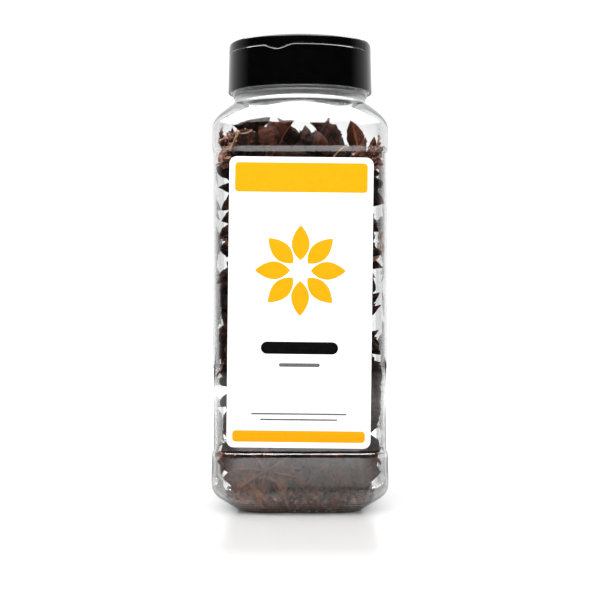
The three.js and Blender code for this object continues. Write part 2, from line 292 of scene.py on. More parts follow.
def outline(height, half_width, corner):
    """One level ring of the jar: a square with round corners."""
    angles = outline_angles()
    c = np.abs(np.cos(angles))
    s = np.abs(np.sin(angles))
    inner = half_width - corner
    flat = half_width / np.maximum(c, s)
    curved = inner * (c + s) + np.sqrt(np.maximum(corner ** 2 - (inner * (c - s)) ** 2, 0))
    reach = np.where(half_width * np.minimum(c, s) <= inner * np.maximum(c, s), flat, curved)
    return points_of(reach * np.cos(angles), reach * np.sin(angles), height)


def blend_rings(start, end, steps, ease=lambda share: share):
    """Rings from start up to, but not with, end. ease bends the width's change."""
    rings = []
    for share in shares(steps)[:-1]:
        eased = ease(share)
        rings.append((
            start[0] + (end[0] - start[0]) * share,
            start[1] + (end[1] - start[1]) * eased,
            start[2] + (end[2] - start[2]) * eased,
        ))
    return rings


def heel_rings(steps=9):
    """The heel: a smooth bend from the slope over the foot to the upright bumper."""
    slope = (HEEL_BREAK[0] - FOOT[0]) / (HEEL_BREAK[1] - FOOT[1])
    knee = (HEEL_BREAK[0] + (HALF_WIDTH - HEEL_BREAK[1]) * slope, HALF_WIDTH, CORNER)
    top = (HEEL_TOP, HALF_WIDTH, CORNER)
    rings = []
    for share in shares(steps):
        near, middle, far = (1 - share) ** 2, 2 * share * (1 - share), share ** 2
        rings.append(tuple(
            near * a + middle * b + far * c for a, b, c in zip(HEEL_BREAK, knee, top)
        ))
    return rings


def rippled_rings(start, end, waves, steps):
    """Rings from start up to, but not with, end, with faint ribs round the wall."""
    rings = []
    for index, (height, half_width, corner) in enumerate(blend_rings(start, end, steps)):
        ripple = HEEL_RIPPLE * math.sin(2 * math.pi * waves * index / steps)
        rings.append((height, half_width + ripple, corner))
    return rings


def lower_step_rings(steps=28):
    """The lower step, worked out from how many degrees the wall leans in at each height in mm."""
    heights, leans = np.array(LOWER_STEP_LEANS).T
    height = np.linspace(heights[0], heights[-1], steps)
    slope = np.tan(np.radians(np.interp(height, heights, leans)))
    fall = np.concatenate([[0], np.cumsum(slope[1:] + slope[:-1])])
    half_width = HALF_WIDTH - PANEL_RECESS * fall / fall[-1]
    return [(z * MM, half, CORNER) for z, half in zip(height, half_width)]


def straight_rings(bottom, top, half_width):
    """Rings close to both ends of an upright wall, so that smooth shading bends it only there."""
    return [(bottom + STRAIGHT_END, half_width, CORNER), (top - STRAIGHT_END, half_width, CORNER)]


def shoulder_rings(steps=16):
    """The shoulder: an elliptical arc in to the neck, while the corners round into a circle."""
    across = (HALF_WIDTH - NECK_RADIUS - NECK_FLARE) / (1 - math.cos(SHOULDER_TURN))
    up = (SHOULDER_TOP - SHOULDER_BASE) / math.sin(SHOULDER_TURN)
    rings = []
    for share in shares(steps):
        turn = share * SHOULDER_TURN
        width = HALF_WIDTH - across * (1 - math.cos(turn))
        corner = CORNER + (width - CORNER) * smoothstep(share)
        rings.append((SHOULDER_BASE + up * math.sin(turn), width, corner))
    return rings


def fillet_rings(steps=6):
    """The hollow bend from the shoulder's top up into the neck."""
    rings = []
    for share in shares(steps)[1:]:
        width = NECK_RADIUS + NECK_FLARE * (1 - share) ** 2
        rings.append((SHOULDER_TOP + (NECK_BASE - SHOULDER_TOP) * share, width, width))
    return rings


def bead_rings(steps=8):
    """The neck's bead, a half round."""
    bottom, top, radius = NECK_BEAD
    rings = []
    for share in shares(steps):
        turn = share * math.pi
        width = NECK_RADIUS + (radius - NECK_RADIUS) * math.sin(turn) ** 0.5
        rings.append((bottom + (top - bottom) * (1 - math.cos(turn)) / 2, width, width))
    return rings


def base_rings():
    """The outside of the jar's base, from its push-up to the edge of its foot."""
    return [
        *blend_rings(PUSH_UP, PUSH_UP_FOOT, 5, smoothstep),
        *blend_rings(PUSH_UP_FOOT, FOOT, 3),
        *blend_rings(FOOT, FOOT_EDGE, 3, lambda share: math.sin(share * math.pi / 2)),
    ]


def side_rings():
    """The outside of the jar's wall, from the edge of its foot to the top of its neck."""
    panel = HALF_WIDTH - PANEL_RECESS
    step = lower_step_rings()
    return [
        *rippled_rings(FOOT_EDGE, HEEL_BREAK, waves=4, steps=24),
        *heel_rings(),
        *straight_rings(HEEL_TOP, step[0][0], HALF_WIDTH),
        *step,
        *straight_rings(step[-1][0], UPPER_STEP[0], panel),
        *blend_rings(
            (UPPER_STEP[0], panel, CORNER), (UPPER_STEP[1], HALF_WIDTH, CORNER), 9, smoothstep,
        ),
        (UPPER_STEP[1], HALF_WIDTH, CORNER),
        *straight_rings(UPPER_STEP[1], SHOULDER_BASE, HALF_WIDTH),
        *shoulder_rings(),
        *fillet_rings(),
        *bead_rings(),
        (NECK_TOP, NECK_RADIUS, NECK_RADIUS),
    ]


def inset_rings(rings, depth):
    """The same rings moved in by depth, square to the wall's profile."""
    profile = np.array(rings)
    run = np.gradient(profile[:, :2], axis=0)
    run /= np.linalg.norm(run, axis=1, keepdims=True)
    inner = profile.copy()
    inner[:, 0] += depth * run[:, 1]
    inner[:, 1:] -= depth * run[:, :1]
    inner[-1, 0] = profile[-1, 0]
    return [tuple(ring) for ring in inner]


def jar_shape():
    outside = base_rings() + side_rings()
    inside = inset_rings(outside, WALL)
    return skin([outline(*ring) for ring in outside + inside[::-1]])


# ---- The cap ----

CAP_SIDES = 180
FLAP_SIDES = 90
HINGE_SIDES = 24
CHORD_STEPS = 12


def cap_radius(height):
    draft = (CAP_RADIUS_BOTTOM - CAP_RADIUS_TOP) / (CAP_TOP - CAP_BOTTOM)
    return CAP_RADIUS_BOTTOM - draft * (height - CAP_BOTTOM)


def tab_drop(azimuths):
    """How far the parting line dips at each azimuth, for the two finger tabs."""
    drop = np.zeros(len(azimuths))
    for turn in (-math.pi / 2, math.pi / 2):
        off = (azimuths - HINGE_AZIMUTH - turn + math.pi) % (2 * math.pi) - math.pi
        along = np.clip(off / TAB_HALF_ANGLE, -1, 1)
        drop += TAB_DROP * np.cos(along * math.pi / 2) ** 2
    return drop


def skirt_shape():
    """The cap's skirt and the closed plate over it, notched for the finger tabs."""
    azimuths = np.linspace(0, 2 * math.pi, CAP_SIDES, endpoint=False)
    drop = tab_drop(azimuths)
    low, high = CAP_PLATE
    lip = TAB_INNER_RADIUS - CAP_GAP
    edge = SKIRT_EDGE
    levels = [
        (CAP_BORE * 0.4, low),
        (CAP_BORE, low),
        (CAP_BORE, CAP_BOTTOM + edge),
        (CAP_BORE + edge, CAP_BOTTOM),
        (CAP_RADIUS_BOTTOM - edge, CAP_BOTTOM),
        (CAP_RADIUS_BOTTOM, CAP_BOTTOM + edge),
        (cap_radius(low), low - 0.2 * MM),
        (cap_radius(high), high - edge - drop),
        (cap_radius(high) - edge, high - drop),
        (lip, high - drop),
        (lip - 0.1 * MM, high),
        (CAP_BORE * 0.4, high),
    ]
    c, s = np.cos(azimuths), np.sin(azimuths)
    return skin([points_of(radius * s, -radius * c, height) for radius, height in levels])


def chord(start, end):
    """The points between the two ends of a straight edge."""
    return np.linspace(start, end, CHORD_STEPS)[1:-1]


def cut_disc(radius, near, far, height, arc_steps, inset=0):
    """A level ring round the part of a disc that lies between two lines across it.

    near and far are the lines' distances from the axis, square to the hinge bar. Where far is
    past the disc, the ring is one arc and one chord, otherwise two of each.
    """
    radius = radius - inset
    near = near + inset
    if far >= radius:
        half = math.acos(near / radius)
        sweep = np.linspace(-half, half, arc_steps)
        arc = np.stack([radius * np.cos(sweep), radius * np.sin(sweep)], -1)
        flat = np.concatenate([arc, chord(arc[-1], arc[0])])
    else:
        half = math.asin((far - inset) / radius)
        sweep = np.linspace(-half, half, arc_steps)
        right = np.stack([radius * np.sin(sweep), radius * np.cos(sweep)], -1)[::-1]
        left = right[::-1] * [1, -1]
        flat = np.concatenate([right, chord(right[-1], left[0]), left, chord(left[-1], right[0])])
    return points_of(*flat.T, height)


def faced(rings, azimuth):
    """Rings drawn with their middle towards +X, turned so that they look towards azimuth."""
    return np.array([turned(ring, 2, azimuth - math.pi / 2) for ring in rings])


def rim_levels(bottom, steps=6):
    """(height, inset) pairs up a piece of the cap whose top edge is rounded."""
    levels = [(bottom, 0), (CAP_TOP - CAP_EDGE, 0)]
    for share in shares(steps)[1:]:
        turn = share * math.pi / 2
        levels.append((CAP_TOP - CAP_EDGE * (1 - math.sin(turn)), CAP_EDGE * (1 - math.cos(turn))))
    return levels


def flap_shape(turn):
    """A flap: half the cap's top, with a finger tab in the middle of its rim."""
    near = HINGE_HALF_WIDTH + CAP_GAP
    past = 2 * CAP_RADIUS_BOTTOM
    low = CAP_PLATE[1] + CAP_GAP
    radius = cap_radius(low)
    levels = [
        (TAB_INNER_RADIUS * 0.6, low, 0),
        (radius, low, radius - TAB_INNER_RADIUS),
        (radius, low, FLAP_EDGE),
        (radius, low + FLAP_EDGE, 0),
        *[(cap_radius(height), height, inset) for height, inset in rim_levels(low + FLAP_RIM)],
        (CAP_RADIUS_TOP * 0.5, CAP_TOP, 0),
    ]
    rings = faced([
        cut_disc(radius, near, past, height, FLAP_SIDES, inset) for radius, height, inset in levels
    ], HINGE_AZIMUTH + turn)
    azimuths = np.arctan2(rings[..., 0], -rings[..., 1])
    drop = tab_drop(azimuths.ravel()).reshape(azimuths.shape)
    reach = np.hypot(rings[..., 0], rings[..., 1])
    is_foot = (reach > TAB_INNER_RADIUS - 0.05 * MM) & (rings[..., 2] < low + 1 * MM)
    rings[..., 2] -= np.where(is_foot, drop, 0)
    return skin(rings)


def hinge_shape():
    """The fixed bar between the flaps, from inside the plate up to the cap's top."""
    half = HINGE_HALF_WIDTH
    rings = []
    for height, inset in rim_levels(CAP_PLATE[1] - HINGE_ROOT):
        inset = min(inset, HINGE_EDGE)
        rings.append(cut_disc(cap_radius(height), -half, half, height, HINGE_SIDES, inset))
    return skin(faced(rings, HINGE_AZIMUTH + math.pi / 2))


# ---- The label ----

def slab(outline_points, back, front):
    """A flat slab in the label's plane. outline_points is (points, 2), across and up."""
    x, z = outline_points.T
    return skin([points_of(x, depth, z) for depth in (back, front)])


def rounded_rectangle(width, height, corner, up=0, steps=8):
    points = []
    for quarter, (side, rise) in enumerate(((1, 1), (-1, 1), (-1, -1), (1, -1))):
        x = side * (width / 2 - corner)
        z = rise * (height / 2 - corner) + up
        for share in shares(steps):
            angle = quarter * math.pi / 2 + share * math.pi / 2
            points.append((x + corner * math.cos(angle), z + corner * math.sin(angle)))
    return np.array(points)


def petal(length, width, start, angle):
    """A pointed petal that leaves the flower's middle at angle."""
    along = np.linspace(0, 1, 14)
    bulge = np.sin(along * math.pi) ** 0.8 * (1 - 0.25 * along)
    side = np.stack([start + along * (length - start), bulge * width / 2], -1)
    x, y = np.concatenate([side * [1, -1], side[-2:0:-1]]).T
    c, s = math.cos(angle), math.sin(angle)
    return np.stack([x * c - y * s, x * s + y * c + FLOWER_UP], -1)


def placed_on_panel(shape):
    """Turns a label shape by the label's tilt and moves it to the middle of the panel."""
    points, quads, triangles = shape
    return turned(points, 1, LABEL_TILT) + [0, 0, LABEL_MIDDLE], quads, triangles


def printed(outlines):
    """Ink in the shape of these outlines, a hair thick, on the front of the label."""
    slabs = [slab(each, LABEL_FRONT + INK_SUNK, LABEL_FRONT - INK) for each in outlines]
    return joined([placed_on_panel(each) for each in slabs])


# ---- Materials ----

HAZY_NECK = (185 * MM, 188 * MM)
DUSTY_FOOT = (6 * MM, 30 * MM)


class Look:
    """The nodes of a material or the world. An input is a socket to link, a number or a colour."""

    def __init__(self, owner, shader="Principled BSDF"):
        owner.use_nodes = True
        self.owner = owner
        self.nodes = owner.node_tree.nodes
        self.shader = self.nodes[shader]

    def feed(self, socket, given):
        if isinstance(given, bpy.types.NodeSocket):
            self.owner.node_tree.links.new(given, socket)
        elif isinstance(given, tuple):
            socket.default_value = (*given, 1)
        else:
            socket.default_value = given

    def set(self, name, given):
        """Sets an input of the shader."""
        self.feed(self.shader.inputs[name], given)

    def add(self, kind, inputs=None, operation=None):
        """A new node, with its inputs by name or number."""
        node = self.nodes.new("ShaderNode" + kind)
        if operation:
            node.operation = operation
        for name, given in (inputs or {}).items():
            self.feed(node.inputs[name], given)
        return node

    def place(self, kind="Object"):
        """Where a point is, in the object's own metres."""
        return self.add("TexCoord").outputs[kind]

    def axes(self, kind="Object"):
        """The X, Y and Z of where a point is."""
        return self.add("SeparateXYZ", {"Vector": self.place(kind)}).outputs

    def noise(self, scale, detail=4.0, roughness=0.6):
        """A noise texture. Its scale is in waves a metre."""
        return self.add("TexNoise", {
            "Vector": self.place(), "Scale": scale, "Detail": detail, "Roughness": roughness,
        }).outputs["Fac"]

    def ramp(self, value, *stops):
        """value through a colour ramp of (place, colour) stops."""
        node = self.add("ValToRGB", {"Fac": value})
        elements = node.color_ramp.elements
        for place, colour in stops[2:]:
            elements.new(place)
        for element, (place, colour) in zip(elements, stops):
            element.position = place
            element.color = (*colour, 1)
        return node.outputs["Color"]

    def remap(self, value, low, high, start=0.0, end=1.0):
        """value with start..end spread over low..high."""
        return self.add("MapRange", {
            "Value": value, "From Min": start, "From Max": end, "To Min": low, "To Max": high,
        }).outputs["Result"]

    def mixed(self, share, first, second):
        """A mix of two colours."""
        node = self.add("Mix")
        node.data_type = "RGBA"
        for number, given in ((0, share), (6, first), (7, second)):
            self.feed(node.inputs[number], given)
        return node.outputs[2]

    def maths(self, operation, first, second=0.0):
        return self.add("Math", {0: first, 1: second}, operation).outputs["Value"]

    def bump(self, height, strength, depth):
        node = self.add("Bump", {"Height": height, "Strength": strength, "Distance": depth})
        self.set("Normal", node.outputs["Normal"])

    def fade(self, share, *other):
        """Turns the surface by share into another shader, or into black where there is none."""
        shaders = (self.shader.outputs["BSDF"], *other)
        mix = self.add("MixShader", {"Fac": share, **dict(enumerate(shaders, 1))})
        self.feed(self.nodes["Material Output"].inputs["Surface"], mix.outputs["Shader"])


def grey(value):
    return (value, value, value)


def grey_stops(stops):
    return [(place, grey(value)) for place, value in stops]


def textured(name, colour, gloss, relief=None, specular=None):
    """The look of a material with uneven colour and gloss.

    colour is its noise and the stops of its ramp, gloss its noise and the least and most
    roughness, and relief its noise, strength and depth. A noise is (scale,) or (scale, detail).
    """
    look = Look(bpy.data.materials.new(name))
    look.set("Base Color", look.ramp(look.noise(*colour[0]), *colour[1:]))
    look.set("Roughness", look.remap(look.noise(*gloss[0]), *gloss[1:]))
    if specular:
        look.set("Specular IOR Level", specular)
    if relief:
        look.bump(look.noise(*relief[0]), *relief[1:])
    return look


def clear_plastic():
    """Blow-moulded clear plastic: faint waves in the wall, and lamps shine through it."""
    look = Look(bpy.data.materials.new("clear_plastic"))
    # The tint darkens where the wall is seen edge-on: painted shade along the jar's edges and corners.
    edges = ((0.0, (0.985, 0.99, 0.99)), (0.27, (0.93, 0.935, 0.935)), (0.7, (0.88, 0.885, 0.885)))
    look.set("Base Color", look.ramp(look.add("LayerWeight").outputs["Facing"], *edges))
    look.set("IOR", 1.57)
    look.set("Transmission Weight", 1)
    look.set("Roughness", look.remap(look.axes()["Z"], 0.0, 0.24, *HAZY_NECK))
    look.bump(look.noise(45, 1), 0.25, 0.4 * MM)
    clear = look.add("BsdfTransparent", {"Color": (0.93, 0.94, 0.94)})
    look.fade(look.add("LightPath").outputs["Is Shadow Ray"], clear.outputs["BSDF"])
    return look


def cap_plastic():
    """Black moulded plastic with a satin grain."""
    return textured(
        "cap_plastic", ((220,), *grey_stops([(0.3, 0.0003), (0.75, 0.0011)])), ((500,), 0.09, 0.15),
        relief=((3500, 2), 0.06, 0.05 * MM), specular=0.35,
    )


def label_paper():
    """Coated white paper."""
    return textured(
        "label_paper", ((900,), *grey_stops([(0.3, 0.90), (0.7, 0.93)])), ((400,), 0.38, 0.5),
        relief=((2500,), 0.08, 0.03 * MM),
    )


def ink(name, dark, light):
    """Printed ink, a little uneven."""
    return textured(name, ((700,), (0.3, dark), (0.7, light)), ((500,), 0.36, 0.5), specular=0.03)


def pod_wood():
    """Dried woody pod. The tone attribute says where its inside, its lips and painted highlights and
    its shade are; on the set arms the shade is painted shade.
    """
    look = Look(bpy.data.materials.new("dried_pod"))
    attribute = look.add("Attribute")
    attribute.attribute_name = "tone"
    tone = look.add("SeparateColor", {"Color": attribute.outputs["Color"]}).outputs
    blotches = look.noise(420, 6, 0.7)
    purple = look.ramp(blotches, (0.44, (0.0014, 0.0009, 0.0009)), (0.68, (0.014, 0.007, 0.0065)))
    red = look.ramp(blotches, (0.42, (0.004, 0.0012, 0.0008)), (0.68, (0.062, 0.015, 0.006)))
    bark = look.mixed(look.remap(look.noise(75, 1), 0, 1, 0.46, 0.62), purple, red)
    specks = look.remap(look.noise(1300, 2), 0, 0.8, 0.64, 0.72)
    speckled = look.mixed(specks, bark, (0.080, 0.050, 0.044))
    dust = look.ramp(blotches, (0.4, (0.08, 0.024, 0.010)), (0.62, (0.34, 0.12, 0.06)))
    dusty = look.mixed(look.remap(look.axes()["Z"], 0.75, 0, *DUSTY_FOOT), speckled, dust)
    # The tone's blue darkens the colour: at random on most pods, and as painted shade on the set arms.
    shaded = look.mixed(look.remap(tone["Blue"], 0.0, 0.8), dusty, (0.004, 0.0025, 0.002))
    flesh = look.ramp(blotches, (0.4, (0.022, 0.005, 0.002)), (0.64, (0.125, 0.031, 0.012)))
    with_inside = look.mixed(tone["Red"], shaded, flesh)
    # The lip colour: the lips' own paler tone, with a painted highlight on the lips and raised
    # wrinkles.
    look.set("Base Color", look.mixed(tone["Green"], with_inside, (0.230, 0.075, 0.036)))
    look.set("Roughness", look.remap(tone["Red"], 0.6, 0.35))
    look.set("Specular IOR Level", 0.05)
    look.bump(look.noise(1000, 5, 0.75), 1.0, 1.1 * MM)
    return look


def seed_coat():
    return textured(
        "seed_coat", ((300,), (0.3, (0.055, 0.016, 0.006)), (0.7, (0.15, 0.048, 0.016))),
        ((600,), 0.12, 0.25),
    )


def husk_flesh():
    """The paler, redder flesh of the pods, where they have broken up."""
    stops = ((0.34, (0.035, 0.013, 0.008)), (0.5, (0.16, 0.055, 0.028)), (0.68, (0.42, 0.19, 0.115)))
    return textured(
        "husk_flake", ((500, 5), *stops), ((300,), 0.45, 0.7), relief=((1500, 5), 1.0, 0.5 * MM),
    )


def stalk_bark():
    """Pale dry stalk, blotched."""
    return textured(
        "stalk", ((350, 5), (0.35, (0.09, 0.035, 0.018)), (0.66, (0.32, 0.17, 0.10))),
        ((300,), 0.5, 0.7), relief=((1200,), 0.8, 0.3 * MM),
    )


def crumb_husk():
    return textured(
        "crumb", ((420,), (0.35, (0.03, 0.011, 0.006)), (0.7, (0.22, 0.09, 0.05))),
        ((300,), 0.6, 0.8), relief=((1500,), 0.6, 0.3 * MM),
    )


def core_wood():
    """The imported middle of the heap, which shows only as shadow between the pods."""
    return textured(
        "heap_middle", ((160,), (0.35, (0.006, 0.004, 0.003)), (0.7, (0.022, 0.013, 0.009))),
        ((300,), 0.7, 0.9), relief=((500,), 1.0, 1 * MM),
    )


# ---- Pods: shapes ----
# A pod is drawn with a radius of 1 and its rim level with z = 0. Each of its points has a tone,
# (inside, lip and painted highlight, shade), that the wood's material reads.

ARM_STATIONS = np.array([0, 0.07, 0.15, 0.24, 0.33, 0.42, 0.51, 0.6, 0.69, 0.77, 0.85, 0.92, 0.97, 1])
ARM_WIDTH = 0.18
ARM_DEPTH = 0.5
ARM_ROOT = 0.05
SHELL = 0.03
SHUT_ACROSS = np.linspace(-1, 1, 14, endpoint=False)
OUTER_ACROSS = np.linspace(-1, 1, 11)
INNER_ACROSS = np.linspace(0.88, -0.88, 7)
WRINKLE = 0.1


def arm_profile(rng, length, hook):
    """Along an arm: distance out, half width, top height and depth at each station."""
    s = ARM_STATIONS
    belly = np.sin(math.pi * s ** 1.1)
    keel = 0.6 * (1 - s) ** 1.5 + 0.75 * np.sin(math.pi * s ** 0.9)
    width = ARM_WIDTH * rng.uniform(0.75, 1.2) * belly + 0.05 * (1 - s) + 0.008
    depth = ARM_DEPTH * rng.uniform(0.8, 1.12) * keel + 0.02
    wobble = 0.012 * np.cumsum(rng.standard_normal(len(s))) * s
    top = hook * s ** 3 - 0.04 * np.sin(s * math.pi) + wobble
    return s * length, width, top, depth


def wrinkles(rng, across):
    """How far each point of an arm stands out: slanting furrows and some roughness, about 0."""
    s = ARM_STATIONS[:, None]
    field = 0.6 * rng.standard_normal((len(s), len(across)))
    for _ in range(4):
        waves = rng.uniform(1.5, 4.5) * s + rng.uniform(-2.5, 2.5) * across
        field += np.sin(2 * math.pi * (waves + rng.random()))
    return field / 2


def arm(rng, length, openness, hook):
    """One boat-shaped arm along +X as (shape, tones). openness goes from 0, shut, to 1, split wide."""
    out, width, top, depth = arm_profile(rng, length, hook)
    lean = 0.07 * rng.standard_normal()
    gape = openness * np.sin(math.pi * ARM_STATIONS ** 0.8) ** 0.6

    def section(across, shrink, ripples):
        turn = across * math.pi
        half = np.maximum(width[:, None] - shrink, 0.003)
        deep = np.maximum(depth[:, None] - 1.5 * shrink, 0.006)
        lip = np.abs(across) ** 3
        bulge = 1.3 * np.sin(turn) * np.maximum(np.cos(turn / 2), 0) ** 0.8
        y = half * (bulge * ripples + gape[:, None] * np.sign(across) * lip)
        z = top[:, None] - deep * ((1 + np.cos(turn)) / 2 * ripples + 0.12 * gape[:, None] * lip)
        x = out[:, None]
        return points_of(x, y + lean * x ** 2, z)

    outside = SHUT_ACROSS if openness == 0 else OUTER_ACROSS
    field = wrinkles(rng, outside)
    rings = section(outside, 0, 1 + WRINKLE * field)
    tone = np.zeros(rings.shape)
    # Raised wrinkles get a painted highlight, and the lips a pale tone that is partly their own and
    # partly painted highlight; the tips are paler of their own.
    tone[..., 1] = 0.14 * np.clip(field, 0, 1)
    tone[-3:, :, 1] += 0.08
    tone[1:-1, 0, 1] = 0.75
    if openness > 0:
        tone[1:-1, -1, 1] = 0.75
        rings = np.concatenate([rings, section(INNER_ACROSS, SHELL, 1)], axis=1)
        tone = np.concatenate([tone, np.tile([1.0, 0, 0], (len(out), len(INNER_ACROSS), 1))], axis=1)
    tones = np.concatenate([tone.reshape(-1, 3), np.zeros((2, 3))])
    return skin(rings), tones


def plain(shape, tone):
    """A shape with the same tone all over."""
    return shape, np.tile(tone, (len(shape[0]), 1))


def stalk(rng, length):
    """The thin bent stalk under a pod."""
    c, s = circle(6)
    bend = rng.uniform(0, 2 * math.pi)
    rings = []
    for share in shares(6):
        thick = 0.05 + 0.03 * (1 - share) + 0.025 * share ** 4
        sway = 0.5 * length * share ** 2
        x = thick * c + sway * math.cos(bend)
        rings.append(points_of(x, -thick * s + sway * math.sin(bend), -0.3 - length * share))
    return plain(skin(rings), [0.0, 0.6, 0.0])


def column():
    """The middle that the arms grow from."""
    c, s = circle(8)
    levels = [(0.09, -0.36), (0.15, -0.28), (0.14, -0.1), (0.07, -0.02)]
    return plain(skin([points_of(r * c, r * s, z) for r, z in levels]), [0.0, 0.3, 0.3])


def seed(rng, length):
    """A flat oval seed that lies in an arm along +X."""
    c, s = circle(8)
    size = 0.17 * rng.uniform(0.85, 1.1)
    rings = []
    for station in np.linspace(0, math.pi, 7):
        r = max(math.sin(station), 0.05)
        x = -size * math.cos(station) + 0.5 * length
        rings.append(points_of(x, size * 0.6 * r * c, size * 0.7 * r * s - 0.15))
    return skin(rings)


def pod(rng, open_share):
    """A whole pod as (shape, tones, seeds). open_share is how many of its arms have split."""
    shapes, tones, seeds = [], [], []
    cup = math.radians(rng.uniform(-16, 2))
    for index in range(POD_ARMS):
        facing = (index + rng.uniform(-0.16, 0.16)) * 2 * math.pi / POD_ARMS
        pitch = cup + math.radians(rng.uniform(-9, 9))
        roll = math.radians(rng.uniform(-22, 22))
        stunted = rng.random() < 0.12
        length = rng.uniform(0.45, 0.68) if stunted else rng.uniform(0.82, 1.0)
        is_open = rng.random() < open_share and not stunted
        shape, tone = arm(rng, length, rng.uniform(0.3, 1.0) if is_open else 0, rng.uniform(0.0, 0.2))
        parts = [shape]
        if is_open and rng.random() < 0.6:
            parts.append(seed(rng, length))
        placed = []
        for points, quads, triangles in parts:
            points = turned(turned(points, 0, roll), 1, pitch) + [ARM_ROOT, 0, 0]
            placed.append((turned(points, 2, facing), quads, triangles))
        shapes.append(placed[0])
        tones.append(tone)
        seeds += placed[1:]
    extras = [column()]
    if rng.random() < 0.4:
        extras.append(stalk(rng, rng.uniform(0.25, 0.7)))
    for shape, tone in extras:
        shapes.append(shape)
        tones.append(tone)
    return joined(shapes), np.concatenate(tones), seeds


def flake(rng):
    """A crinkled flake of broken pod with a half length of 1."""
    c, s = circle(14)
    x = np.repeat(np.linspace(-1, 1, 16)[:, None], len(c), axis=1)
    ragged = np.sqrt(np.maximum(1 - x ** 2, 0.004)) * (1 + 0.16 * rng.standard_normal(x.shape))
    y = rng.uniform(0.2, 0.5) * ragged * c
    z = 0.05 * s * np.sqrt(np.maximum(1 - x ** 2, 0.01))
    for _ in range(5):
        waves = rng.uniform(-1.6, 1.6) * x + rng.uniform(-2.2, 2.2) * y
        z = z + 0.11 * np.sin(2 * math.pi * (waves + rng.random()))
    return skin(points_of(x, y, z + 0.35 * y ** 2))


def stalk_bit(rng, length):
    """A broken piece of stalk along X, uneven and a little bent, in metres."""
    c, s = circle(7)
    thick = rng.uniform(0.35, 0.6) * MM
    bend = rng.uniform(-0.11, 0.11, 2) * length
    rings = []
    for station in np.linspace(-0.5, 0.5, 12):
        flared = thick * (1 + 0.5 * abs(2 * station) ** 3)
        around = flared * (1 + 0.14 * rng.standard_normal(len(c)))
        side, rise = bend * (2 * station) ** 2
        rings.append(points_of(station * length, around * c + side, around * s + rise))
    return skin(rings)


# ---- Pods: packing ----
# For the packing each pod is a rigid set of balls, one at its middle and two along each arm. The
# balls start small and grow, and each round turns and shifts every pod out of what it overlaps.

def pod_balls():
    """Ball middles and radii of a pod of radius 1."""
    star = points_of(*circle(POD_ARMS), 0)
    middles = np.concatenate([[[0, 0, -0.2]], star * 0.5 + [0, 0, -0.2], star * 0.84 + [0, 0, -0.06]])
    return middles, np.repeat([0.24, 0.2, 0.11], [1, POD_ARMS, POD_ARMS])


LOOSE_LENGTH = 0.95
LOOSE_MIDDLE = 0.5


def loose_balls():
    """The same number of balls along a single arm."""
    along = np.linspace(0.05, LOOSE_LENGTH, 2 * POD_ARMS + 1)
    return points_of(along - LOOSE_MIDDLE, 0, -0.18), 0.19 * np.sin(along * math.pi * 0.85 + 0.3)


def random_turns(rng, count):
    """Evenly random turns, as 3x3 matrices."""
    q = rng.standard_normal((count, 4))
    w, x, y, z = (q / np.linalg.norm(q, axis=1, keepdims=True)).T
    rows = [
        [1 - 2 * (y * y + z * z), 2 * (x * y - w * z), 2 * (x * z + w * y)],
        [2 * (x * y + w * z), 1 - 2 * (x * x + z * z), 2 * (y * z - w * x)],
        [2 * (x * z - w * y), 2 * (y * z + w * x), 1 - 2 * (x * x + y * y)],
    ]
    return np.moveaxis(np.array(rows), -1, 0)


def turned_by(spin):
    """The turn matrices of small turns, each given as its axis times its angle."""
    angle = np.linalg.norm(spin, axis=1)
    x, y, z = (spin / np.maximum(angle, 1e-12)[:, None]).T
    zero = 0 * x
    cross = np.moveaxis(np.array([[zero, -z, y], [z, zero, -x], [-y, x, zero]]), -1, 0)
    sine, cosine = np.sin(angle)[:, None, None], np.cos(angle)[:, None, None]
    return np.eye(3) + sine * cross + (1 - cosine) * (cross @ cross)


def room_at(height):
    """The inside half width and corner radius of the jar at each height."""
    rings = np.array(inset_rings(side_rings(), WALL))
    half = np.interp(height, rings[:, 0], rings[:, 1])
    return half, np.interp(height, rings[:, 0], rings[:, 2])


def floor_at(points):
    """The height of the jar's inside floor under each point, over its push-up or beside it."""
    reach = np.abs(points[:, :2]).max(axis=1)
    rise = np.clip((PUSH_UP_FOOT[1] - reach) / (PUSH_UP_FOOT[1] - PUSH_UP[1]), 0, 1)
    return WALL + PUSH_UP[0] * rise


def square_distance(points, half_width, corner):
    """Signed distance to an upright square tube with round corners, and the way out of it."""
    flat = np.abs(points[:, :2]) - (half_width - corner)[:, None]
    over = np.maximum(flat, 0)
    length = np.linalg.norm(over, axis=1)
    distance = length + np.minimum(flat.max(axis=1), 0) - corner
    straight = (flat == flat.max(axis=1, keepdims=True)).astype(float)
    way = np.where((length > 1e-9)[:, None], over / np.maximum(length, 1e-9)[:, None], straight)
    return distance, np.concatenate([way * np.sign(points[:, :2]), np.zeros((len(points), 1))], axis=1)


def wall_contacts(balls, radii):
    """(pod, point, way in, depth) of each ball in the wall, floor, lid or packed middle."""
    points, sizes = balls.reshape(-1, 3), radii.ravel()
    owner = np.repeat(np.arange(len(balls)), balls.shape[1])
    up = np.tile([0.0, 0.0, 1.0], (len(points), 1))
    outside, way_out = square_distance(points, *room_at(points[:, 2]))
    core = np.tile([[CORE_HALF_WIDTH], [CORE_CORNER]], len(points))
    middle, from_middle = square_distance(points, *core)
    beside = (points[:, 2] > CORE_SPAN[0]) & (points[:, 2] < CORE_SPAN[1])
    found = [
        (outside + sizes, -way_out),
        (np.where(beside, sizes - middle, -1), from_middle),
        (floor_at(points) + sizes - points[:, 2], up),
        (points[:, 2] + sizes - HEAP_TOP, -up),
    ]
    rows = []
    for depth, way in found:
        hit = depth > 0
        rows.append((owner[hit], points[hit], way[hit], depth[hit]))
    return [np.concatenate(each) for each in zip(*rows)]


